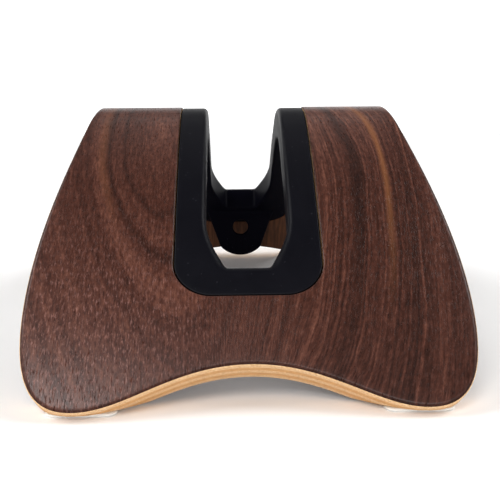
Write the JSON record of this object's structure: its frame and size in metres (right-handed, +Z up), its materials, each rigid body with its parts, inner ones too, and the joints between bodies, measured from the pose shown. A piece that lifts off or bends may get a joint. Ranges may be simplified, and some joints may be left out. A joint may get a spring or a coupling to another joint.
{
  "type": "vertical laptop stand",
  "caption": "Low bent-plywood arch veneered with walnut, with a soft-lined slot that holds a closed laptop on edge; a tab behind the slot keeps its cable.",
  "frame": {"origin": "on the desk, under the middle of the arch", "axes": "+Y along the slot towards the end with the cable tab, +X to the right seen from the other end, +Z up"},
  "size_m": [0.1188, 0.1882, 0.0717],
  "materials": {
    "walnut_veneer": "satin lacquer over open-grained walnut",
    "long_grain_ply": "sanded and clear-sealed edge",
    "cross_grain_ply": "sanded and clear-sealed end grain",
    "black_silicone": "matt moulded",
    "clear_pad": "milky, slightly tacky"
  },
  "bodies": {
    "root": {"walnut_face_veneer": "walnut_veneer", "core_ply_1": "long_grain_ply", "core_ply_2": "cross_grain_ply", "core_ply_3": "long_grain_ply", "core_ply_4": "cross_grain_ply", "core_ply_5": "long_grain_ply", "walnut_back_veneer": "walnut_veneer", "slot_insert": "black_silicone", "foot_pad_front_left": "clear_pad", "foot_pad_front_right": "clear_pad", "foot_pad_rear_left": "clear_pad", "foot_pad_rear_right": "clear_pad"}
  },
  "joints": []
}
